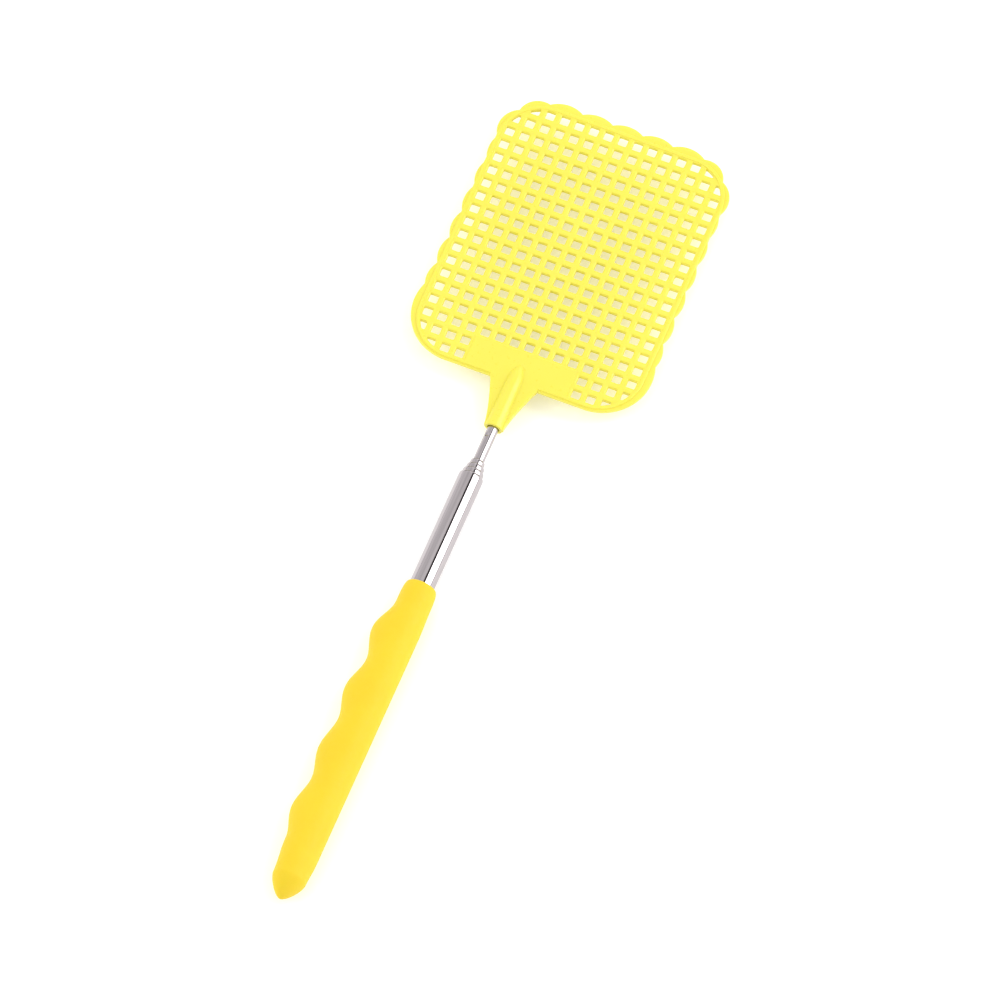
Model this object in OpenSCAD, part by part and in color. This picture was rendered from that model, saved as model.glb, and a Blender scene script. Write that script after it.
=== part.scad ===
// Hand fly swatter: a moulded mesh head on a five-section telescoping steel pole, with a soft grip.
// Millimetres. The swatter lies flat and collapsed: +Y runs along the pole to the head, +Z is up,
// the finger ridges of the grip face -X, and the origin is under the middle of the whole swatter.
// Lengths along the pole count from the closed end of the grip.

/* [Pole] */
// Outside diameter of the widest pole section
pole_d = 8; // [7.8:0.1:8.2]
// How much smaller each next section is in diameter
section_step = 1.1; // [1.05:0.01:1.15]
// Wall thickness of every section
tube_wall = 0.35; // [0.32:0.01:0.38]
// Where the lower end of the widest section sits inside the grip
outer_base = 12; // [10:0.5:14]
// Where the rolled mouth of the widest section ends
outer_mouth = 157.3; // [155:0.1:161]
// How far each nested mouth stands out of the one before it
mouth_step = 1.85; // [1.7:0.05:2]
// Length over which a mouth is rolled in
roll_len = 0.9; // [0.8:0.1:1.3]

/* [Bushes and springs] */
// Thickness of a bush's two end flanges
flange_t = 0.8; // [0.6:0.1:1]
// Length of the groove that holds the two half-shell springs
groove_len = 6; // [5:0.5:7]
// Thickness of a half-shell spring
spring_t = 0.25; // [0.22:0.01:0.28]
// Gap between the two half shells
spring_gap = 0.8; // [0.6:0.1:1.2]
// Length of a bush's stem inside its tube
bush_stem = 4; // [3:0.5:5]
// Length of the base plug's stem inside the widest section
plug_stem = 8; // [6:0.5:9]
// Space left between nested pieces when the pole is pushed in
nest_gap = 0.2; // [0.15:0.05:0.3]

/* [Head] */
// Distance from one mesh hole to the next
mesh_pitch = 4.87; // [4.8:0.01:5]
// Side of a square mesh hole
hole_side = 3; // [2.6:0.1:3.2]
// Mesh holes across the head
hole_cols = 15; // [15]
// Mesh holes along the head
hole_rows = 19; // [19]
// Thickness of the border, the solid panel and the wings
plate_t = 2.2; // [2:0.1:2.6]
// Thickness of the mesh, centred in the border
mesh_t = 1.8; // [1.6:0.1:1.9]
// Thickness of the scalloped flange outside the border
flange_plate_t = 1.4; // [1.2:0.1:1.6]
// Width of the raised border
border_w = 1.2; // [1.1:0.1:1.3]
// Radius of a scallop
scallop_r = 9.6; // [9.4:0.1:9.8]
// Radius of the two smooth corners beside the socket
lower_corner_r = 16.4; // [16:0.1:16.8]

/* [Socket] */
// Where the mouth of the socket is
socket_mouth = 175.2; // [173:0.1:177]
// Length of the triangular wings from the mouth to the mesh plate
wing_len = 16.8; // [16:0.1:17]
// Half width of the wings where they meet the plate
wing_reach = 7.9; // [7:0.1:8.5]
// Half width of the wings at the mouth
wing_end = 3.15; // [3:0.05:3.5]
// Radius of the socket at its mouth
socket_r = 3; // [2.8:0.1:3.2]
// Whole length of the socket's round boss
boss_len = 24; // [23:0.5:25]
// How deep the thin section sits in the socket
socket_depth = 15; // [13:0.5:16]

/* [Grip] */
// Length of the grip
grip_len = 115.5; // [114:0.1:117]
// Radius of the plain side of the grip
grip_r = 6.05; // [6:0.05:6.6]
// How far the top finger ridge reaches from the pole's axis
ridge_reach = 8.75; // [8.5:0.05:9.5]
// Distance from one finger ridge to the next
ridge_pitch = 22.05; // [21.5:0.05:22.4]
// Place of the first finger ridge
first_ridge = 30.7; // [30:0.1:32]
// Length of the pointed end
dome_len = 7.5; // [7:0.1:9]

/* [Hidden] */
$fn = 96;

// fits
lip_clear = 0.05;      // a mouth round the next section
flange_clear = 0.05;   // a bush flange in its tube
spring_clear = 0.02;   // a spring shell in its tube
groove_clear = 0.03;   // a spring shell round its bush
crimp_clear = 0.02;    // a stem in the tube crimped on it
end_play = 0.1;        // a spring shell in its groove, at each end
lip_t = 0.15;          // wall left at the edge of a rolled mouth
end_gap = 0.3;         // thin section short of the socket's end
part_clear = 0.1;      // loose fit of an inner turned piece
cut = 1;               // how far a cutting solid runs past a face

// head, measured from the plate's lower edge and the pole's axis
plate_base = socket_mouth + wing_len;
lower_margin = 0.74 * mesh_pitch;    // lower edge to the first row of holes
upper_margin = 1.17 * mesh_pitch;    // last row of holes to the tops of the scallops
plate_len = lower_margin + (hole_rows - 1) * mesh_pitch + upper_margin;
total_len = plate_base + plate_len;

// inner edge of the border
field_half = 7.45 * mesh_pitch;
field_base = 0.36 * mesh_pitch;
field_top = plate_len - 0.8 * mesh_pitch;
field_low_r = 2.7 * mesh_pitch;
field_high_r = 2.65 * mesh_pitch;

// solid panel above the socket
panel_half = 3.5 * mesh_pitch;
panel_top = 2.3 * mesh_pitch;

// scallops: five along the top, two round each upper corner, six down each side
top_scallops = 5;
top_spacing = 2.07 * mesh_pitch;
side_scallops = 6;
side_spacing = 2.01 * mesh_pitch;
side_first = plate_len - 4.66 * mesh_pitch;
side_reach = 7.85 * mesh_pitch;
side_flare = 0.04 * mesh_pitch;      // each next scallop reaches this much further out
lower_reach = 8.15 * mesh_pitch;
corner_scallops = [                  // [out from the axis, below the top, radius]
    [5.68 * mesh_pitch, 1.68 * mesh_pitch, 1.34 * mesh_pitch],
    [6.34 * mesh_pitch, 2.88 * mesh_pitch, 1.56 * mesh_pitch]
];

axis_h = grip_r;
valleys = [6.2, 6.55, 6.65, 6.3, 5.35];  // reach below, between and above the four finger ridges
dome_reach = 5.35;                       // reach of the finger side where the dome begins
dome_shoulder = 1.36;                    // how full the dome's shoulder is
dome_point = 0.71;                       // and how pointed its end
rim_len = 4.7;                           // rounding of the open end, along the pole
rim_drop = 0.8;                          // and inwards
low_drop = 0.45;                         // the plain side draws in by this much at the dome
low_end = 15.4;                          // and is full width from here
high_drop = 0.4;                         // it draws in again towards the open end
high_start = 98;                         // from here
high_end = 112;                          // to here
grip_bore_clear = 0.02;
dimple_y = socket_mouth - 3.1;
dimple_angle = 25;
dimple_r = 0.7;
dimple_depth = 0.4;

// the five sections, counted from the widest
function tube_r(k) = (pole_d - (k - 1) * section_step) / 2;
function tube_ri(k) = tube_r(k) - tube_wall;
function tube_base(k) = k == 1 ? outer_base : bush_base(k) + bush_len;
function bush_base(k) = stem_top(k - 1) + nest_gap;
function stem_top(k) = k == 1 ? outer_base + plug_stem : tube_base(k) + bush_stem;
function mouth(k) = outer_mouth + (k - 1) * mouth_step;
bush_len = 2 * flange_t + groove_len;
tube_5_top = socket_mouth + socket_depth - end_gap;

// puts something drawn along +Z on the pole's axis, y along the pole
module on_pole(y = 0) {
    translate([0, y - total_len / 2, axis_h])
        rotate([-90, 0, 0])
            children();
}

// puts something drawn flat at z = 0 on the head's middle plane, y from the plate's lower edge
module on_head() {
    translate([0, plate_base - total_len / 2, axis_h])
        children();
}

// a slab of thickness t centred on the head's middle plane
module slab(t) {
    translate([0, 0, -t / 2])
        linear_extrude(t)
            children();
}

// rounded outline with its own radius at the lower and the upper corners, grown outwards by grow
module field_outline(grow = 0) {
    half = field_half + grow;
    base = field_base - grow;
    top = field_top + grow;
    low_r = field_low_r + grow;
    high_r = field_high_r + grow;
    translate([-half, base + low_r])
        square([2 * half, top - base - low_r - high_r]);
    translate([-half + low_r, base])
        square([2 * (half - low_r), low_r + cut]);
    translate([-half + high_r, top - high_r - cut])
        square([2 * (half - high_r), high_r + cut]);
    for (side = [-1, 1]) {
        translate([side * (half - low_r), base + low_r])
            circle(low_r);
        translate([side * (half - high_r), top - high_r])
            circle(high_r);
    }
}

module plate_outline() {
    field_outline(border_w);
    // straight lower edge between two smooth corners
    translate([-lower_reach + lower_corner_r, 0])
        square([2 * (lower_reach - lower_corner_r), lower_corner_r]);
    for (side = [-1, 1])
        translate([side * (lower_reach - lower_corner_r), lower_corner_r])
            circle(lower_corner_r);
    for (i = [0 : top_scallops - 1])
        translate([(i - (top_scallops - 1) / 2) * top_spacing, plate_len - scallop_r])
            circle(scallop_r);
    for (side = [-1, 1]) {
        for (place = corner_scallops)
            translate([side * place[0], plate_len - place[1]])
                circle(place[2]);
        for (i = [0 : side_scallops - 1])
            translate([side * (side_reach + i * side_flare - scallop_r), side_first - i * side_spacing])
                circle(scallop_r);
    }
}

// the open part of the mesh: the square holes, clipped by the border, less the solid panel
module mesh_holes() {
    intersection() {
        slab(plate_t + cut) field_outline();
        for (row = [0 : hole_rows - 1], col = [0 : hole_cols - 1]) {
            x = (col - (hole_cols - 1) / 2) * mesh_pitch;
            y = lower_margin + row * mesh_pitch;
            if (abs(x) > panel_half || y > panel_top)
                translate([x, y, 0])
                    cube([hole_side, hole_side, plate_t + 2 * cut], center = true);
        }
    }
}

// the mesh lies a little below the border and the panel on both faces
module mesh_recess() {
    for (face = [-1, 1])
        translate([0, 0, face * (mesh_t + cut) / 2])
            difference() {
                slab(cut) field_outline();
                translate([-panel_half, 0, -cut])
                    cube([2 * panel_half, panel_top, 2 * cut]);
            }
}

// the wings start with a short step, draw in along a slightly hollow curve and stop just above the mouth
module wings() {
    mouth_gap = 0.3;
    step = 1.2;
    step_in = 0.6;
    hollow = 1.34;
    steps = 8;
    edge = [for (i = [0 : steps]) let (f = i / steps)
        [wing_end + (wing_reach - step_in - wing_end) * pow(f, hollow),
            mouth_gap - wing_len + f * (wing_len - mouth_gap - step)]];
    left = [for (i = [steps : -1 : 0]) [-edge[i][0], edge[i][1]]];
    polygon(concat(edge, [[wing_reach, 0], [wing_reach, cut], [-wing_reach, cut], [-wing_reach, 0]], left));
}

// round boss from the socket's mouth, rounded off where it runs out on the plate
module boss() {
    tip_len = 6;
    taper = 0.25;
    neck_r = socket_r - taper;
    steps = 8;
    rotate_extrude()
        polygon(concat(
            [[0, 0], [socket_r, 0]],
            [for (i = [0 : steps]) let (a = i * 90 / steps)
                [neck_r * cos(a), boss_len - tip_len * (1 - sin(a))]]
        ));
}

module swatter_head() {
    color("#FFF94A")
        difference() {
            union() {
                on_head() {
                    difference() {
                        union() {
                            slab(flange_plate_t) plate_outline();
                            slab(plate_t) field_outline(border_w);
                        }
                        mesh_recess();
                        mesh_holes();
                    }
                    slab(plate_t) wings();
                }
                on_pole(socket_mouth) boss();
            }
            on_pole(socket_mouth - cut)
                cylinder(h = socket_depth + cut, r = tube_r(5) + crimp_clear);
        }
}

// goes smoothly from 0 at y = from to 1 at y = to
function ease(y, from, to) = (1 - cos(180 * min(1, max(0, (y - from) / (to - from))))) / 2;

// reach of the finger side at y: ridges and valleys joined by cosine waves
function finger_reach(y) =
    let (
        ridges = [for (shy = [0.15, 0.15, -0.1, 0]) ridge_reach - shy],
        u = (y - first_ridge) / ridge_pitch + 0.5,
        n = min(floor(u), len(ridges) - 1),
        f = u - n,
        low = valleys[f < 0.5 ? n : n + 1]
    )
    u < 0 ? dome_reach + (valleys[0] - dome_reach) * ease(y, dome_len, first_ridge - ridge_pitch / 2)
    : u < len(ridges) ? low + (ridges[n] - low) * (1 - cos(360 * f)) / 2
    : valleys[len(ridges)];

// radius of the plain side at y: it thins a little towards the dome and the open end
function plain_reach(y) =
    grip_r - low_drop * (1 - ease(y, dome_len, low_end)) - high_drop * ease(y, high_start, high_end);

// how far the grip has closed in at y: a pointed dome below and a rounded rim above
function grip_close(y) =
    y < dome_len ? pow(1 - pow(1 - y / dome_len, dome_shoulder), dome_point)
    : y > grip_len - rim_len
        ? 1 - (rim_drop / grip_r) * (1 - sqrt(1 - pow((y - grip_len + rim_len) / rim_len, 2)))
    : 1;

function grip_ring(y, sides) = [
    for (i = [0 : sides - 1]) let (a = 360 * i / sides, s = grip_close(y))
        [s * cos(a) * (cos(a) > 0 ? plain_reach(y) : finger_reach(y)), -s * plain_reach(y) * sin(a), y]
];

module grip_sleeve() {
    sides = 32;
    body_end = grip_len - rim_len;
    dome = [for (a = [8 : 10 : 78]) dome_len * (1 - cos(a))];
    waves = [for (i = [0 : 40]) dome_len + (body_end - dome_len) * i / 40];
    rim = [for (a = [22.5 : 22.5 : 90]) body_end + rim_len * sin(a)];
    levels = concat(dome, waves, rim);
    rings = [for (y = levels) each grip_ring(y, sides)];
    last = len(levels) - 1;
    sides_faces = [
        for (j = [0 : last - 1], i = [0 : sides - 1])
            let (n = (i + 1) % sides)
            each [
                [j * sides + i, j * sides + n, (j + 1) * sides + n],
                [j * sides + i, (j + 1) * sides + n, (j + 1) * sides + i]
            ]
    ];
    end_faces = [
        [for (i = [sides - 1 : -1 : 0]) i],
        [for (i = [0 : sides - 1]) last * sides + i]
    ];
    color("#FDDF3C")
        on_pole()
            difference() {
                polyhedron(points = rings, faces = concat(sides_faces, end_faces));
                translate([0, 0, outer_base - flange_t])
                    cylinder(h = grip_len, r = tube_r(1) + grip_bore_clear);
            }
}

// a pole section from its lower end to a mouth rolled in round the next section
module rolled_tube(k) {
    ro = tube_r(k);
    ri = tube_ri(k);
    lip_r = tube_r(k + 1) + lip_clear;
    steps = 5;
    color("#C9CACC")
        on_pole(tube_base(k))
            rotate_extrude()
                polygon(concat(
                    [[ri, 0], [ro, 0]],
                    [for (i = [0 : steps]) let (a = i * 90 / steps)
                        [ro - (ro - lip_r - lip_t) * (1 - cos(a)),
                            mouth(k) - tube_base(k) - roll_len * (1 - sin(a))]],
                    [[lip_r, mouth(k) - tube_base(k)]],
                    [[lip_r, mouth(k) - tube_base(k) - roll_len / 2]],
                    [[ri, mouth(k) - tube_base(k) - roll_len]]
                ));
}

module outer_tube() {
    rolled_tube(1);
}

// the thin section, staked on to its core by a dimple below the socket
module tube_5() {
    dent = tube_r(5) + dimple_r - dimple_depth;
    color("#C9CACC")
        difference() {
            union() {
                on_pole(tube_base(5))
                    difference() {
                        cylinder(h = tube_5_top - tube_base(5), r = tube_r(5));
                        translate([0, 0, -cut])
                            cylinder(h = tube_5_top - tube_base(5) + 2 * cut, r = tube_ri(5));
                    }
                on_pole(dimple_y)
                    intersection() {
                        translate([0, 0, -2 * dimple_r])
                            cylinder(h = 4 * dimple_r, r = tube_r(5));
                        dimple_ball(dent, dimple_r + tube_wall * 0.8);
                    }
            }
            on_pole(dimple_y) dimple_ball(dent, dimple_r);
        }
}

module dimple_ball(reach, r) {
    rotate([0, 0, -90 - dimple_angle])
        translate([reach, 0, 0])
            sphere(r);
}

// brass bush: lower flange, spring groove, upper flange, and a stem crimped in section k
module bush(k) {
    flange_r = tube_ri(k - 1) - flange_clear;
    groove_r = tube_ri(k - 1) - spring_clear - spring_t - groove_clear;
    color("#C9A24A")
        on_pole(bush_base(k)) {
            cylinder(h = bush_len, r = groove_r);
            cylinder(h = flange_t, r = flange_r);
            translate([0, 0, bush_len - flange_t])
                cylinder(h = flange_t, r = flange_r);
            cylinder(h = bush_len + bush_stem, r = tube_ri(k) - crimp_clear);
        }
}

// one half-shell friction spring in the groove of bush k, on the side given by turn
module spring_shell(k, turn) {
    r = tube_ri(k - 1) - spring_clear;
    h = groove_len - 2 * end_play;
    color("#D9A066")
        on_pole(bush_base(k) + flange_t + end_play)
            rotate([0, 0, turn])
                intersection() {
                    difference() {
                        cylinder(h = h, r = r);
                        translate([0, 0, -cut])
                            cylinder(h = h + 2 * cut, r = r - spring_t);
                    }
                    translate([spring_gap / 2, -pole_d, -cut])
                        cube([pole_d, 2 * pole_d, h + 2 * cut]);
                }
}

// turned plug that closes the lower end of the widest section
module base_plug() {
    color("#B9BBBE")
        on_pole(outer_base - flange_t) {
            cylinder(h = flange_t, r = tube_r(1) - part_clear);
            cylinder(h = flange_t + plug_stem, r = tube_ri(1) - crimp_clear);
        }
}

// pin inside the top of the thin section, necked where the dimple holds it
module tip_core() {
    below = 5;
    neck_half = 1.2;
    r = tube_ri(5) - crimp_clear;
    neck_r = tube_r(5) - dimple_depth - tube_wall - part_clear;
    color("#B9BBBE")
        on_pole(dimple_y - below)
            difference() {
                cylinder(h = tube_5_top - dimple_y + below, r = r);
                translate([0, 0, below - neck_half])
                    difference() {
                        cylinder(h = 2 * neck_half, r = r + cut);
                        translate([0, 0, -cut])
                            cylinder(h = 2 * neck_half + 2 * cut, r = neck_r);
                    }
            }
}

swatter_head();
grip_sleeve();
base_plug();
tip_core();
outer_tube();
rolled_tube(2);  // tube_2
rolled_tube(3);  // tube_3
rolled_tube(4);  // tube_4
tube_5();
for (k = [2 : 5]) {
    bush(k);
    spring_shell(k, 0);
    spring_shell(k, 180);
}
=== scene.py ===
# Telescoping hand fly swatter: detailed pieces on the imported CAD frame. Lengths are in millimetres
# until a mesh is made, when they become metres in the frame's axes.
import math

import bpy
import bmesh
import numpy as np
from mathutils import Matrix, Vector
from mathutils.geometry import tessellate_polygon


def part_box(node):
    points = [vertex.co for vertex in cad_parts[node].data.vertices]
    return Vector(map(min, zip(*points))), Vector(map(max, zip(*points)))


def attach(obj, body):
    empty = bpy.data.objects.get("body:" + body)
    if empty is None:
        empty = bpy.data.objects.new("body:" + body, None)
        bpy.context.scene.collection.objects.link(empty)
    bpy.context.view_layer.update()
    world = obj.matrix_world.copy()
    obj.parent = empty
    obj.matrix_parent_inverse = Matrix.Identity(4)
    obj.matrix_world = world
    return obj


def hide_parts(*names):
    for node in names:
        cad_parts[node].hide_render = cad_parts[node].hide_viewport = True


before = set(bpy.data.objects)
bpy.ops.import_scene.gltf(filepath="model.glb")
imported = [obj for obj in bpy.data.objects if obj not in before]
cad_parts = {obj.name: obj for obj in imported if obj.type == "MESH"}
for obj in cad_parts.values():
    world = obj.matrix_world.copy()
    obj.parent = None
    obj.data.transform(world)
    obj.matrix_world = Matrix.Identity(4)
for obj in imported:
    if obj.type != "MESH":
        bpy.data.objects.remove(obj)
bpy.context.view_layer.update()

MM = 0.001
grip_lo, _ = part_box("grip_sleeve")
head_lo, head_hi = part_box("swatter_head")
AXIS_H = (head_lo.z + head_hi.z) / 2 / MM
END_Y = grip_lo.y / MM                    # closed end of the grip
MOUTH_Y = head_lo.y / MM                  # mouth of the socket

# sizes of the CAD part
POLE_D, STEP, WALL = 8.0, 1.1, 0.35
ROLL = 0.9
PITCH = 4.87
COLS, ROWS = 15, 19
PLATE_T, MESH_T, FLANGE_T = 2.2, 1.8, 1.4
BORDER_W, SCALLOP_R, LOWER_R = 1.2, 9.6, 16.4
WING_LEN, WING_REACH, WING_END = 16.8, 7.9, 3.15
SOCKET_R, BOSS_LEN, SOCKET_DEPTH = 3.0, 24.0, 15.0
MOUTH_GAP, WING_STEP, WING_STEP_IN, WING_HOLLOW = 0.3, 1.2, 0.6, 1.34
GRIP_LEN, GRIP_R, RIDGE = 115.5, 6.05, 8.75
RIDGE_PITCH, FIRST_RIDGE, DOME = 22.05, 30.7, 7.5
CLEARANCE, BORE_GROWTH = 0.05, 0.02       # between sections, and in the socket and the grip
DIMPLE_BELOW, DIMPLE_R, DIMPLE_DEPTH, DIMPLE_TURN = 3.1, 0.95, 0.36, 25

# the head's outlines
FIRST_ROW, TOP_MARGIN = 0.74, 1.17        # in pitches, from the lower edge and to the top
PLATE_Y = MOUTH_Y + WING_LEN
PLATE_LEN = (FIRST_ROW + ROWS - 1 + TOP_MARGIN) * PITCH
FIELD_HALF, FIELD_TOP = 7.45 * PITCH, PLATE_LEN - 0.8 * PITCH
FIELD_BASE = 0.36 * PITCH
FIELD_LOW_R, FIELD_HIGH_R = 2.7 * PITCH, 2.65 * PITCH
LOWER_HALF = 8.15 * PITCH
PANEL_HALF, PANEL_TOP = 3.5 * PITCH, 2.3 * PITCH
TOP_SPACING, SIDE_FIRST, SIDE_SPACING = 2.07, 4.66, 2.01    # scallops, in pitches
SIDE_REACH, SIDE_SPREAD = 7.85, 0.04
CORNER_SCALLOPS = ((5.68, 1.68, 1.34), (6.34, 2.88, 1.56))
NEAR_LOWER_EDGE = 5                       # below this height an outline is at its lower edge


def tube_r(k):
    return (POLE_D - (k - 1) * STEP) / 2


def new_object(name, verts, faces, place=None):
    me = bpy.data.meshes.new(name)
    me.from_pydata([tuple(v) for v in verts], [], faces)
    me.validate()
    if place is not None:
        me.transform(place)
    ob = bpy.data.objects.new(name, me)
    bpy.context.scene.collection.objects.link(ob)
    bm = bmesh.new()
    bm.from_mesh(me)
    bmesh.ops.recalc_face_normals(bm, faces=bm.faces)
    bm.to_mesh(me)
    bm.free()
    return ob


def smooth(ob, degrees=35):
    me = ob.data
    for poly in me.polygons:
        poly.use_smooth = True
    bm = bmesh.new()
    bm.from_mesh(me)
    for e in bm.edges:
        e.smooth = not (len(e.link_faces) == 2 and e.calc_face_angle(0) > math.radians(degrees))
    bm.to_mesh(me)
    bm.free()
    return ob


def baked(ob):
    """Applies the object's modifiers to its mesh."""
    dg = bpy.context.evaluated_depsgraph_get()
    me = bpy.data.meshes.new_from_object(ob.evaluated_get(dg))
    ob.modifiers.clear()
    ob.data = me
    return ob


def combine(ob, other, how):
    mod = ob.modifiers.new("combine", "BOOLEAN")
    mod.operation = how
    mod.solver = "MANIFOLD"
    mod.object = other
    baked(ob)
    bpy.data.objects.remove(other)
    return ob


# ---------------------------------------------------------------- outlines

def thinned(points, gap=0.02):
    out = [points[0]]
    for p in points[1:]:
        if math.dist(p, out[-1]) > gap:
            out.append(p)
    if math.dist(out[0], out[-1]) <= gap:
        out.pop()
    return out


def area(points):
    return sum(a[0] * b[1] - b[0] * a[1] for a, b in zip(points, points[1:] + points[:1])) / 2


def grown(points, d):
    """An anticlockwise outline moved outwards by d, with mitred corners."""
    n = len(points)
    out = []
    for i in range(n):
        a, b, c = points[i - 1], points[i], points[(i + 1) % n]
        u = Vector((b[0] - a[0], b[1] - a[1])).normalized()
        v = Vector((c[0] - b[0], c[1] - b[1])).normalized()
        nu, nv = Vector((u.y, -u.x)), Vector((v.y, -v.x))
        m = nu + nv
        m = nu if m.length < 1e-6 else m.normalized()
        k = d / max(0.5, m.dot(nu))
        out.append((b[0] + m.x * k, b[1] + m.y * k))
    return out


def field_outline(grow=0.0, steps=24):
    """Rounded outline of the mesh field, anticlockwise from the lower right."""
    half, base, top = FIELD_HALF + grow, FIELD_BASE - grow, FIELD_TOP + grow
    low, high = FIELD_LOW_R + grow, FIELD_HIGH_R + grow
    corners = [(half - low, base + low, low, -90), (half - high, top - high, high, 0),
               (-half + high, top - high, high, 90), (-half + low, base + low, low, 180)]
    pts = []
    for cx, cy, r, start in corners:
        for i in range(steps + 1):
            a = math.radians(start + 90 * i / steps)
            pts.append((cx + r * math.cos(a), cy + r * math.sin(a)))
    return pts


def plate_circles():
    """The circles whose outer reach is the scalloped outline, each as x, y and radius."""
    out = [(s * (LOWER_HALF - LOWER_R), LOWER_R, LOWER_R) for s in (-1, 1)]
    out += [((i - 2) * TOP_SPACING * PITCH, PLATE_LEN - SCALLOP_R, SCALLOP_R) for i in range(5)]
    for s in (-1, 1):
        for x, y, r in CORNER_SCALLOPS:
            out.append((s * x * PITCH, PLATE_LEN - y * PITCH, r * PITCH))
        for i in range(6):
            out.append((s * ((SIDE_REACH + SIDE_SPREAD * i) * PITCH - SCALLOP_R),
                        PLATE_LEN - (SIDE_FIRST + SIDE_SPACING * i) * PITCH, SCALLOP_R))
    return out


def plate_outline(n=1800):
    """The scalloped outline, as the furthest reach of its circles and the border along each ray."""
    centre = np.array([0.0, PLATE_LEN * 0.5])
    th = np.arange(n) * 2 * math.pi / n - math.pi / 2
    d = np.c_[np.cos(th), np.sin(th)]
    reach = np.zeros(n)
    for x, y, r in plate_circles():
        c = np.array([x, y]) - centre
        along = d @ c
        disc = along ** 2 - (c @ c - r * r)
        reach = np.maximum(reach, np.where(disc > 0, along + np.sqrt(np.maximum(disc, 0)), 0))
    # the border's own outline and the straight lower edge
    loop = np.array(field_outline(BORDER_W)) - centre
    for a, b in zip(loop, np.roll(loop, -1, 0)):
        e = b - a
        det = d[:, 0] * -e[1] + d[:, 1] * e[0]
        with np.errstate(divide="ignore", invalid="ignore"):
            t = (a[0] * -e[1] + a[1] * e[0]) / det
            u = (d[:, 0] * a[1] - d[:, 1] * a[0]) / det
        ok = (np.abs(det) > 1e-9) & (t > 0) & (u >= 0) & (u <= 1)
        reach = np.maximum(reach, np.where(ok, t, 0))
    with np.errstate(divide="ignore"):
        t = -centre[1] / d[:, 1]
    straight = LOWER_HALF - LOWER_R
    ok = (d[:, 1] < 0) & (np.abs(t * d[:, 0]) <= straight)
    reach = np.maximum(reach, np.where(ok, t, 0))
    return [tuple(centre + reach[i] * d[i]) for i in range(n)]


def opened(points, half):
    """The outline without its lower edge out to half each side, from the gap's right end on."""
    rest = [p for p in points if not (abs(p[0]) <= half and p[1] < NEAR_LOWER_EDGE)]
    start = min(range(len(rest)),
                key=lambda i: (rest[i][1] > NEAR_LOWER_EDGE, rest[i][0] < 0, rest[i][0]))
    return rest[start:] + rest[:start]


def with_wings(points, edge, steps=24):
    """The outline with the two wings added below its lower edge, which lies at y = edge."""
    spread_out = WING_REACH - WING_STEP_IN - WING_END
    rise = WING_LEN - (MOUTH_GAP + WING_STEP)
    right = []
    for i in range(steps + 1):
        f = i / steps
        right.append((WING_END + spread_out * f ** WING_HOLLOW, MOUTH_GAP - WING_LEN + f * rise))
    right += [(WING_REACH, 0), (WING_REACH, edge)]
    wings = [(-x, y) for x, y in reversed(right)] + right
    return thinned(opened(points, WING_REACH) + wings)


def band(a, b, n):
    """Quads between the ring of n points that starts at a and the one that starts at b."""
    return [(a + i, a + (i + 1) % n, b + (i + 1) % n, b + i) for i in range(n)]


def stacked(name, levels):
    """A closed solid from outlines of equal length, each with its height, lowest first."""
    n = len(levels[0][0])
    verts = [(x, y, z) for loop, z in levels for x, y in loop]
    faces = []
    for j in range(len(levels) - 1):
        faces += band(j * n, (j + 1) * n, n)
    for base, loop in ((0, levels[0][0]), ((len(levels) - 1) * n, levels[-1][0])):
        for tri in tessellate_polygon([[Vector((x, y, 0)) for x, y in loop]]):
            faces.append(tuple(base + t for t in tri))
    return new_object(name, verts, faces)


def rounded_slab(name, loop, thick, r):
    """A flat slab with the given outline, thickness and edge rounding, centred on z = 0."""
    levels = []
    for i in range(5):
        a = math.radians(90 * i / 4)
        levels.append((grown(loop, -r * (1 - math.sin(a))), -thick / 2 + r * (1 - math.cos(a))))
    levels += [(loop_, -z) for loop_, z in reversed(levels)]
    return stacked(name, levels)


# ---------------------------------------------------------------- head

def clipped(poly, fence):
    """The part of a convex polygon inside a convex anticlockwise outline."""
    out = poly
    for a, b in zip(fence, fence[1:] + fence[:1]):
        ex, ey = b[0] - a[0], b[1] - a[1]
        if ex * ex + ey * ey < 1e-12:
            continue
        side = [(ex * (p[1] - a[1]) - ey * (p[0] - a[0])) for p in out]
        kept = []
        for i in range(len(out)):
            p, q, sp, sq = out[i - 1], out[i], side[i - 1], side[i]
            if (sp >= 0) != (sq >= 0):
                t = sp / (sp - sq)
                kept.append((p[0] + t * (q[0] - p[0]), p[1] + t * (q[1] - p[1])))
            if sq >= 0:
                kept.append(q)
        out = kept
        if len(out) < 3:
            return []
    return out


def rounded_corners(poly, r, steps=3):
    out = []
    n = len(poly)
    for i in range(n):
        a, b, c = (Vector(poly[i - 1]), Vector(poly[i]), Vector(poly[(i + 1) % n]))
        ra = min(r, 0.4 * (a - b).length, 0.4 * (c - b).length)
        p, q = b + (a - b).normalized() * ra, b + (c - b).normalized() * ra
        for s in range(steps + 1):
            t = s / steps
            v = p * (1 - t) ** 2 + b * 2 * t * (1 - t) + q * t * t
            out.append((v.x, v.y))
    return thinned(out, 0.01)


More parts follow.
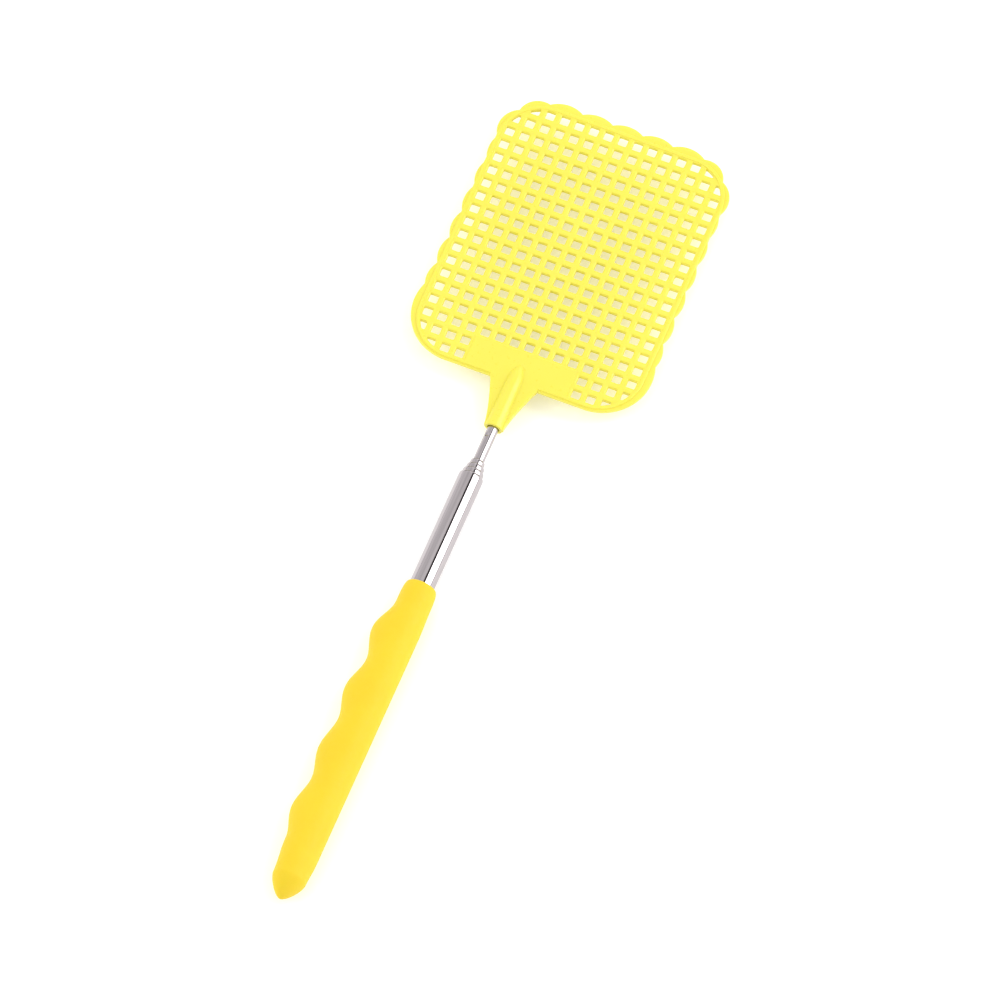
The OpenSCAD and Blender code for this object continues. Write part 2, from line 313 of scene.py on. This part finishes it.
def mesh_cutter(depth=0.42, across=0.68, along=0.46, opening=2.92):
    """Every mesh hole as one cutting solid, flared at both faces so that the ribs come out rounded.
    across is the rounding of the ribs along the pole, along that of the ribs across it."""
    fence = field_outline(-0.12)
    verts, faces = [], []
    h, s = MESH_T / 2, opening / 2
    arc = [(h - depth * (1 - math.sin(math.radians(a))), 1 - math.cos(math.radians(a)))
           for a in (0, 18, 36, 54, 72, 90)]
    profile = [(-h - 1, 1.0)] + [(-z, g) for z, g in reversed(arc)] + arc + [(h + 1, 1.0)]
    for row in range(ROWS):
        for col in range(COLS):
            x, y = (col - (COLS - 1) / 2) * PITCH, (FIRST_ROW + row) * PITCH
            if abs(x) <= PANEL_HALF and y <= PANEL_TOP:
                continue
            square = [(x - s, y - s), (x + s, y - s), (x + s, y + s), (x - s, y + s)]
            poly = clipped(square, fence)
            if len(poly) < 3 or area(poly) < 1.0:
                continue
            whole = abs(area(poly) - opening * opening) < 0.02
            # next to the border, the panel and the lower edge the flare is small
            edge = min(math.dist((x, y), p) for p in fence) < 0.6 * PITCH
            gx = across if whole and not edge else 0.15
            gy = along if whole and not edge else 0.15
            poly = rounded_corners(thinned(poly, 0.15), 0.45)
            n = len(poly)
            base = len(verts)
            for z, g in profile:
                if whole:
                    loop = [(x + (px - x) * (1 + gx * g / s), y + (py - y) * (1 + gy * g / s))
                            for px, py in poly]
                else:
                    loop = grown(poly, 0.1 * g)
                verts += [(px, py, z) for px, py in loop]
            for j in range(len(profile) - 1):
                faces += band(base + j * n, base + (j + 1) * n, n)
            faces.append(tuple(base + i for i in reversed(range(n))))
            top = base + (len(profile) - 1) * n
            faces.append(tuple(top + i for i in range(n)))
    return new_object("cutter", verts, faces)


def recess_cutter(face):
    """The shallow step down from the border and the panel to the mesh, on one face."""
    panel = [(-PANEL_HALF, FIELD_BASE), (-PANEL_HALF, PANEL_TOP),
             (PANEL_HALF, PANEL_TOP), (PANEL_HALF, FIELD_BASE)]
    loop = thinned(opened(field_outline(), PANEL_HALF) + panel)
    h = MESH_T / 2
    levels = [(loop, h), (grown(loop, 0.05), h + 0.05), (grown(loop, 0.16), PLATE_T / 2),
              (grown(loop, 0.3), PLATE_T / 2 + 0.5)]
    if face < 0:
        levels = [(lp, -z) for lp, z in reversed(levels)]
    return stacked("cutter", levels)


def ring(r, y, sides):
    turns = [2 * math.pi * i / sides for i in range(sides)]
    return [(r * math.cos(a), y, r * math.sin(a)) for a in turns]


def skinned(name, verts, sides, closed=False, place=None):
    """A solid over rings of points in order: capped, or closed on itself."""
    m = len(verts) // sides
    faces = []
    for j in range(m if closed else m - 1):
        faces += band(j * sides, ((j + 1) % m) * sides, sides)
    if not closed:
        faces.append(tuple(range(sides)))
        faces.append(tuple((m - 1) * sides + i for i in reversed(range(sides))))
    return new_object(name, verts, faces, place)


def lathe(name, profile, sides, closed=False):
    """A solid turned about the Y axis from (radius, y) points."""
    return skinned(name, [v for r, y in profile for v in ring(r, y, sides)], sides, closed)


def make_head():
    head = rounded_slab("swatter_head_detail", thinned(plate_outline()), FLANGE_T, 0.32)
    border = with_wings(field_outline(BORDER_W), FIELD_BASE - BORDER_W)
    combine(head, rounded_slab("cutter", border, PLATE_T, 0.3), "UNION")
    for face in (-1, 1):
        combine(head, recess_cutter(face), "DIFFERENCE")
    combine(head, mesh_cutter(), "DIFFERENCE")
    # round boss, with a softened mouth and a long run-out on the panel
    tip, neck = 8.0, SOCKET_R - 0.25
    profile = [(SOCKET_R - 0.35, -WING_LEN), (SOCKET_R - 0.1, -WING_LEN + 0.08),
               (SOCKET_R, -WING_LEN + 0.35)]
    for i in range(15):
        a = math.radians(6 * i)
        profile.append((neck * math.cos(a), -WING_LEN + BOSS_LEN - tip * (1 - math.sin(a))))
    profile.append((0.02, -WING_LEN + BOSS_LEN))
    combine(head, lathe("cutter", profile, 96), "UNION")
    bore = tube_r(5) + BORE_GROWTH
    mouth = [(bore + 0.25, -WING_LEN - 1), (bore + 0.25, -WING_LEN), (bore, -WING_LEN + 0.3),
             (bore, -WING_LEN + SOCKET_DEPTH)]
    combine(head, lathe("cutter", mouth, 96), "DIFFERENCE")
    head.data.transform(Matrix.Translation((0, PLATE_Y, AXIS_H)))
    head.data.transform(Matrix.Scale(MM, 4))
    smooth(head, 40)
    mod = head.modifiers.new("even_normals", "WEIGHTED_NORMAL")
    mod.keep_sharp = True
    mod.weight = 90
    baked(head)
    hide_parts("swatter_head")
    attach(head, "section_5")
    return head


# ---------------------------------------------------------------- grip

VALLEYS = [6.2, 6.55, 6.65, 6.3, 5.35]
RIDGES = [RIDGE - d for d in (0.15, 0.15, -0.1, 0.0)]
RIM_LEN, RIM_DROP = 4.7, 0.8
DOME_REACH, DOME_SHOULDER, DOME_POINT = 5.35, 1.36, 0.71
LOW_DROP, LOW_END = 0.45, 15.4            # the plain side is thinner at the dome
HIGH_DROP, HIGH_START, HIGH_END = 0.4, 98, 112    # and again towards the pole
BORE_END = 11.2


def ease(y, a, b):
    """0 up to a and 1 from b on, with a smooth rise between."""
    return (1 - math.cos(math.pi * min(1, max(0, (y - a) / (b - a))))) / 2


def finger_reach(y):
    """The grip's reach on the side of the finger ridges, y above its closed end."""
    u = (y - FIRST_RIDGE) / RIDGE_PITCH + 0.5
    if u < 0:
        return DOME_REACH + (VALLEYS[0] - DOME_REACH) * ease(y, DOME, FIRST_RIDGE - RIDGE_PITCH / 2)
    if u >= len(RIDGES):
        return VALLEYS[-1]
    n = int(u)
    f = u - n
    low = VALLEYS[n if f < 0.5 else n + 1]
    return low + (RIDGES[n] - low) * (1 - math.cos(2 * math.pi * f)) / 2


def plain_reach(y):
    low = LOW_DROP * (1 - ease(y, DOME, LOW_END))
    return GRIP_R - low - HIGH_DROP * ease(y, HIGH_START, HIGH_END)


def grip_close(y):
    """What the reach is multiplied by: under 1 in the dome and at the rounded rim."""
    if y < DOME:
        return (1 - (1 - y / DOME) ** DOME_SHOULDER) ** DOME_POINT
    if y > GRIP_LEN - RIM_LEN:
        t = min(1, (y - GRIP_LEN + RIM_LEN) / RIM_LEN)
        return 1 - RIM_DROP / GRIP_R * (1 - math.sqrt(1 - t * t))
    return 1


def make_grip():
    sides = 144
    ys = [DOME * (1 - math.cos(math.radians(a))) for a in np.linspace(2, 88, 40)]
    ys += list(np.linspace(DOME, GRIP_LEN - RIM_LEN, 300))
    ys += [GRIP_LEN - RIM_LEN + RIM_LEN * math.sin(math.radians(a))
           for a in np.linspace(5, 90, 18)]
    verts = []
    for y in ys:
        s = grip_close(y)
        for i in range(sides):
            a = 2 * math.pi * i / sides
            reach = plain_reach(y) if math.cos(a) > 0 else finger_reach(y)
            verts.append((s * math.cos(a) * reach, y, s * plain_reach(y) * math.sin(a)))
    bore = tube_r(1) + BORE_GROWTH
    for r, y in ((bore + 0.12, GRIP_LEN), (bore, GRIP_LEN - 0.15), (bore, BORE_END)):
        verts += ring(r, y, sides)
    place = Matrix.Scale(MM, 4) @ Matrix.Translation((0, END_Y, AXIS_H))
    grip = smooth(skinned("grip_sleeve_detail", verts, sides, place=place), 40)
    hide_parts("grip_sleeve")
    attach(grip, "handle")
    return grip


# ---------------------------------------------------------------- pole

def tube_box(k):
    lo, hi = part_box("outer_tube" if k == 1 else "tube_%d" % k)
    return lo.y / MM, hi.y / MM


def dimple(ob, ro, y):
    """Presses the staking dimple into a tube of outer radius ro, centred at y."""
    turn = math.radians(90 + DIMPLE_TURN)
    at = Vector((ro * math.cos(turn), y, ro * math.sin(turn)))
    for v in ob.data.vertices:
        rad = math.hypot(v.co.x, v.co.z)
        near = Vector((v.co.x * ro / rad, v.co.y, v.co.z * ro / rad))
        d = (near - at).length
        if d < DIMPLE_R:
            push = DIMPLE_DEPTH * (0.5 + 0.5 * math.cos(math.pi * d / DIMPLE_R))
            v.co.x *= (rad - push) / rad
            v.co.z *= (rad - push) / rad


def make_tube(k):
    """Section k: 1 to 4 have a mouth rolled in round the next one, and 5 has the dimple."""
    name = "outer_tube" if k == 1 else "tube_%d" % k
    ro, ri = tube_r(k), tube_r(k) - WALL
    y0, y1 = tube_box(k)
    # the last ring here, and the one before the roll, keep the straight part's shading straight
    profile = [(ri, y0), (ro - 0.06, y0), (ro, y0 + 0.06), (ro, y0 + 0.4)]
    if k < 5:
        lip = tube_r(k + 1) + CLEARANCE
        profile.append((ro, y1 - ROLL - 0.3))
        for a in np.linspace(0, 90, 14):
            profile.append((ro - (ro - lip - 0.15) * (1 - math.cos(math.radians(a))),
                            y1 - ROLL * (1 - math.sin(math.radians(a)))))
        profile += [(lip + 0.04, y1), (lip, y1 - 0.08), (lip, y1 - ROLL / 2), (ri, y1 - ROLL)]
    else:
        dimple_y = MOUTH_Y - DIMPLE_BELOW
        rows = list(np.linspace(dimple_y - 1.3, dimple_y + 1.3, 40))
        profile += [(ro, y) for y in rows] + [(ro, y1), (ri, y1)]
        profile += [(ri, y) for y in reversed(rows)]
    ob = lathe(name + "_detail", profile, 288 if k == 5 else 192, closed=True)
    if k == 5:
        dimple(ob, ro, dimple_y)
    ob.data.transform(Matrix.Scale(MM, 4) @ Matrix.Translation((0, 0, AXIS_H)))
    smooth(ob, 50)
    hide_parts(name)
    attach(ob, "handle" if k == 1 else "section_%d" % k)
    return ob


# ---------------------------------------------------------------- materials

def material(name, color, rough, metal=0.0):
    m = bpy.data.materials.new(name)
    m.use_nodes = True
    b = m.node_tree.nodes["Principled BSDF"]
    b.inputs["Base Color"].default_value = (*color, 1)
    b.inputs["Roughness"].default_value = rough
    b.inputs["Metallic"].default_value = metal
    return m, m.node_tree, b


def node(tree, kind, **values):
    n = tree.nodes.new(kind)
    for key, v in values.items():
        if key in n.inputs:
            n.inputs[key].default_value = v
        else:
            setattr(n, key, v)
    return n


def coords(tree, scale=(1, 1, 1)):
    tc = node(tree, "ShaderNodeTexCoord")
    mp = node(tree, "ShaderNodeMapping")
    mp.inputs["Scale"].default_value = scale
    tree.links.new(tc.outputs["Object"], mp.inputs["Vector"])
    return mp.outputs["Vector"]


def noise(tree, vector, scale, detail=3.0):
    n = node(tree, "ShaderNodeTexNoise", Scale=scale, Detail=detail)
    tree.links.new(vector, n.inputs["Vector"])
    return n.outputs["Fac"]


def remapped(tree, value, low, high, to_low, to_high):
    """A value with low to high turned into to_low to to_high."""
    r = node(tree, "ShaderNodeMapRange")
    for key, v in (("From Min", low), ("From Max", high),
                   ("To Min", to_low), ("To Max", to_high)):
        r.inputs[key].default_value = v
    tree.links.new(value, r.inputs["Value"])
    return r.outputs["Result"]


NOISE_LOW, NOISE_HIGH = 0.3, 0.7          # where nearly all of a noise texture's values lie


def spread(tree, fac, low, high, target):
    """Sends a noise value to a socket as low to high."""
    tree.links.new(remapped(tree, fac, NOISE_LOW, NOISE_HIGH, low, high), target)


def tinted(tree, fac, low, high, target):
    """Sends a noise value to a colour socket as the colours low to high."""
    ramp = node(tree, "ShaderNodeValToRGB")
    for stop, at, color in zip(ramp.color_ramp.elements, (NOISE_LOW, NOISE_HIGH), (low, high)):
        stop.position = at
        stop.color = (*color, 1)
    tree.links.new(fac, ramp.inputs["Fac"])
    tree.links.new(ramp.outputs["Color"], target)


def bumped(tree, b, fac, strength, distance):
    n = node(tree, "ShaderNodeBump", Strength=strength, Distance=distance)
    tree.links.new(fac, n.inputs["Height"])
    tree.links.new(n.outputs["Normal"], b.inputs["Normal"])


def head_plastic():
    m, t, b = material("head_plastic", (0.83, 0.75, 0.085), 0.3)
    v = coords(t)
    tinted(t, noise(t, v, 45, 2), (0.82, 0.74, 0.081), (0.84, 0.76, 0.089), b.inputs["Base Color"])
    spread(t, noise(t, v, 900, 3), 0.26, 0.36, b.inputs["Roughness"])
    bumped(t, b, noise(t, v, 2600, 2), 0.12, 0.00004)
    b.inputs["Subsurface Weight"].default_value = 0.3
    b.inputs["Subsurface Radius"].default_value = (1.0, 0.9, 0.15)
    b.inputs["Subsurface Scale"].default_value = 0.0012
    b.inputs["IOR"].default_value = 1.49
    return m


def grip_vinyl():
    m, t, b = material("grip_vinyl", (0.82, 0.595, 0.017), 0.62)
    v = coords(t)
    tinted(t, noise(t, v, 60, 3), (0.81, 0.58, 0.0155), (0.83, 0.61, 0.019), b.inputs["Base Color"])
    spread(t, noise(t, v, 700, 3), 0.56, 0.68, b.inputs["Roughness"])
    bumped(t, b, noise(t, v, 3200, 4), 0.25, 0.00006)
    b.inputs["Subsurface Weight"].default_value = 0.15
    b.inputs["Subsurface Radius"].default_value = (1.0, 0.6, 0.1)
    b.inputs["Subsurface Scale"].default_value = 0.001
    b.inputs["IOR"].default_value = 1.45
    return m


def drawn_steel():
    m, t, b = material("steel_tube", (0.5, 0.455, 0.47), 0.08, 1.0)
    fine = coords(t, (1, 0.02, 1))
    tinted(t, noise(t, fine, 1600, 3), (0.46, 0.42, 0.435), (0.53, 0.49, 0.505),
           b.inputs["Base Color"])
    spread(t, noise(t, fine, 900, 4), 0.05, 0.11, b.inputs["Roughness"])
    bumped(t, b, noise(t, fine, 2400, 3), 0.1, 0.00002)
    return m


def turned(name, low, high, rough):
    m, t, b = material(name, high, rough, 1.0)
    rings = coords(t, (0.02, 1, 0.02))
    tinted(t, noise(t, rings, 3500, 2), low, high, b.inputs["Base Color"])
    spread(t, noise(t, rings, 2500, 3), rough - 0.06, rough + 0.08, b.inputs["Roughness"])
    bumped(t, b, noise(t, rings, 4200, 2), 0.15, 0.00002)
    return m


def paint(ob, mat):
    ob.data.materials.clear()
    ob.data.materials.append(mat)
    for p in ob.data.polygons:
        p.material_index = 0


head = make_head()
grip = make_grip()
tubes = [make_tube(k) for k in range(1, 6)]
steel = drawn_steel()
turned_steel = turned("turned_steel", (0.55, 0.56, 0.57), (0.7, 0.71, 0.72), 0.28)
brass = turned("bush_brass", (0.66, 0.46, 0.15), (0.8, 0.6, 0.25), 0.26)
bronze = turned("spring_bronze", (0.66, 0.38, 0.18), (0.82, 0.53, 0.3), 0.24)
plastic, vinyl = head_plastic(), grip_vinyl()
paint(head, plastic)
paint(grip, vinyl)
for ob in tubes:
    paint(ob, steel)
finish = {"swatter_head": plastic, "grip_sleeve": vinyl,
          "base_plug": turned_steel, "tip_core": turned_steel}
for name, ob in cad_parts.items():
    mat = finish.get(name) or (steel if "tube" in name else brass if "bush" in name else bronze)
    for slot in ob.material_slots:
        slot.material = mat
    if not ob.material_slots:
        ob.data.materials.append(mat)

# ---------------------------------------------------------------- studio

def sheet(name, w, h, place=None):
    return new_object(name, [(-w, -h, 0), (w, -h, 0), (w, h, 0), (-w, h, 0)], [(0, 1, 2, 3)], place)


floor = sheet("studio_floor", 30, 30)
fm, ft, fb = material("studio_floor", (0.93, 0.93, 0.925), 0.85)
tinted(ft, noise(ft, coords(ft), 3, 2), (0.925, 0.925, 0.92), (0.94, 0.94, 0.935),
       fb.inputs["Base Color"])
fb.inputs["Emission Color"].default_value = (1, 0.995, 0.985, 1)
fb.inputs["Emission Strength"].default_value = 0.2
paint(floor, fm)

world = bpy.data.worlds.new("studio")
bpy.context.scene.world = world
world.use_nodes = True
wt = world.node_tree
sky = wt.nodes["Background"]
sky.inputs["Color"].default_value = (1.0, 0.995, 0.99, 1)
# the room dips a little high on the left, and is brightest beyond the head, where the rolled
# mouths reflect it
where = node(wt, "ShaderNodeTexCoord")
split = node(wt, "ShaderNodeSeparateXYZ")
wt.links.new(where.outputs["Generated"], split.inputs["Vector"])

LEFT_GREY, RIGHT_GREY = 0.76, 0.69
across = node(wt, "ShaderNodeValToRGB")
wt.links.new(remapped(wt, split.outputs["X"], -1, 1, 0, 1), across.inputs["Fac"])
ramp = across.color_ramp
for spot, grey in ((0.04, LEFT_GREY), (0.31, 0.6), (0.45, LEFT_GREY), (0.56, RIGHT_GREY)):
    stop = ramp.elements.new(spot)
    stop.color = (grey, grey, grey, 1)
for stop, grey in ((ramp.elements[0], LEFT_GREY), (ramp.elements[-1], RIGHT_GREY)):
    stop.color = (grey, grey, grey, 1)
product = node(wt, "ShaderNodeMath", operation="MULTIPLY")
wt.links.new(across.outputs["Color"], product.inputs[0])
wt.links.new(remapped(wt, split.outputs["Y"], 0.5, 0.85, 1.3, 1.75), product.inputs[1])
wt.links.new(product.outputs["Value"], sky.inputs["Strength"])


def framed(x, y, z, origin):
    """The matrix with these axes at this origin."""
    m = Matrix.Identity(4)
    for i, axis in enumerate((x, y, z)):
        m.col[i].xyz = axis
    m.translation = origin
    return m


def facing(theta, lean, distance):
    """A place that faces the object, theta degrees from straight up towards +X, leaning to +Y."""
    t = math.radians(theta)
    flat = math.sqrt(1 - lean * lean)
    z = Vector((flat * math.sin(t), lean, flat * math.cos(t)))
    x = Vector((math.cos(t), 0, -math.sin(t)))
    return framed(x, z.cross(x), z, z * distance)


def softbox(name, theta, lean, distance, size, power):
    data = bpy.data.lights.new(name, "AREA")
    data.shape = "RECTANGLE"
    data.size, data.size_y = size
    data.energy = power
    ob = bpy.data.objects.new(name, data)
    bpy.context.scene.collection.objects.link(ob)
    ob.matrix_world = facing(theta, lean, distance)
    return ob


softbox("key_right", 52, 0.423, 1.6, (1.49, 0.5), 10.5)
fill = softbox("fill_left", -50, -0.3, 2.2, (1.6, 2.0), 13.4)
fill.visible_glossy = False


def dark_card(name, place, w, h):
    """A black card that shows only in reflections."""
    ob = sheet(name, w, h, place)
    m, t, b = material(name, (0.02, 0.02, 0.02), 0.9)
    tinted(t, noise(t, coords(t), 5, 2), (0.018, 0.018, 0.018), (0.025, 0.025, 0.025),
           b.inputs["Base Color"])
    paint(ob, m)
    ob.visible_camera = ob.visible_shadow = ob.visible_diffuse = False


# one makes the fine dark line along the pole, the other the dark lines between the rolled mouths
dark_card("card_over_pole", facing(15.5, 0.423, 1.5), 0.2, 0.7)
dark_card("card_beyond_head", facing(0, 0.988, 1.6), 2.0, 0.24)

# the camera: its angles, its distance and shifts in metres, and its zoom
AZ, EL, DIST, PX_PER_MM = math.radians(21.77), math.radians(62.92), 8.0, 3.233
ROLL_RAD, SHIFT_RIGHT, SHIFT_UP = 0.0039, 0.013617, 0.003269
SENSOR = 36
level_right = Vector((math.cos(AZ), math.sin(AZ), 0))
above = Vector((-math.sin(AZ) * math.sin(EL), math.cos(AZ) * math.sin(EL), math.cos(EL)))
right = level_right * math.cos(ROLL_RAD) + above * math.sin(ROLL_RAD)
up = above * math.cos(ROLL_RAD) - level_right * math.sin(ROLL_RAD)
back = right.cross(up)
centre = Vector((0, 0, AXIS_H * MM)) + right * SHIFT_RIGHT + up * SHIFT_UP
cam_data = bpy.data.cameras.new("camera")
cam_data.sensor_width = SENSOR
cam_data.lens = PX_PER_MM * DIST * SENSOR
cam_data.clip_end = 200
cam = bpy.data.objects.new("camera", cam_data)
bpy.context.scene.collection.objects.link(cam)
cam.matrix_world = framed(right, up, back, centre + back * DIST)
bpy.context.scene.camera = cam
bpy.context.scene.view_settings.view_transform = "Standard"
